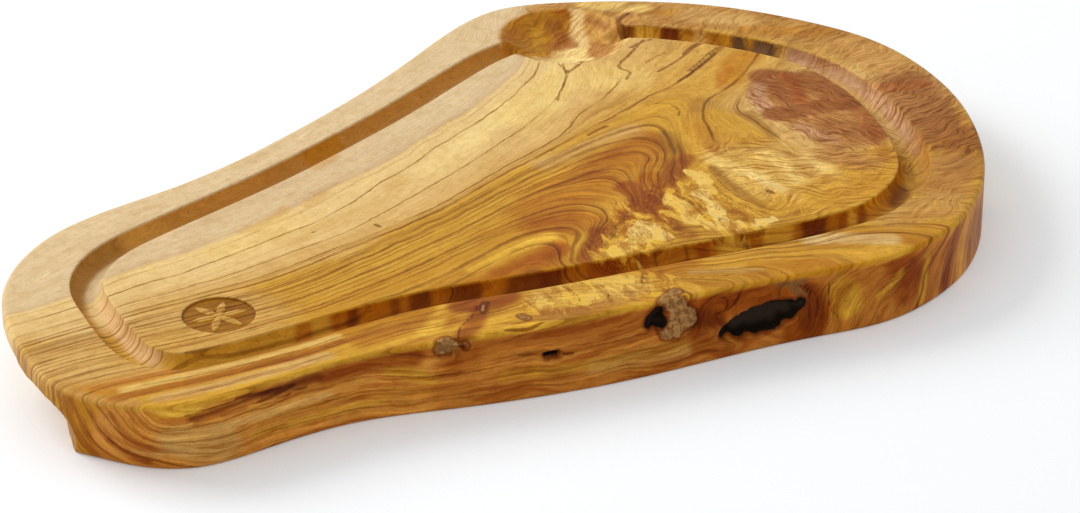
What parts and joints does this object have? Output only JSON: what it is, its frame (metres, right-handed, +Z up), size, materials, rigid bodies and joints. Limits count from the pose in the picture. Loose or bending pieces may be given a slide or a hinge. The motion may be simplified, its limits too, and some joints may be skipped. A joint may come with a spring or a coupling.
{
  "type": "olive wood carving board",
  "caption": "Free-form wooden serving and carving board with a natural outline, a juice groove, a dished well and a finger cove under its narrow end.",
  "frame": {"origin": "centre of the bounding box, on the underside that the board rests on", "axes": "+X along the board's length towards its wide end, +Y towards the back edge with the dished well, +Z up out of the grooved top"},
  "size_m": [0.4662, 0.3028, 0.031],
  "materials": {
    "olive_wood": "sanded and oiled olive wood, satin, honey yellow with dark brown figure, pale sapwood and bark-lined knots"
  },
  "bodies": {
    "root": {"serving_board": "olive_wood"}
  },
  "joints": []
}
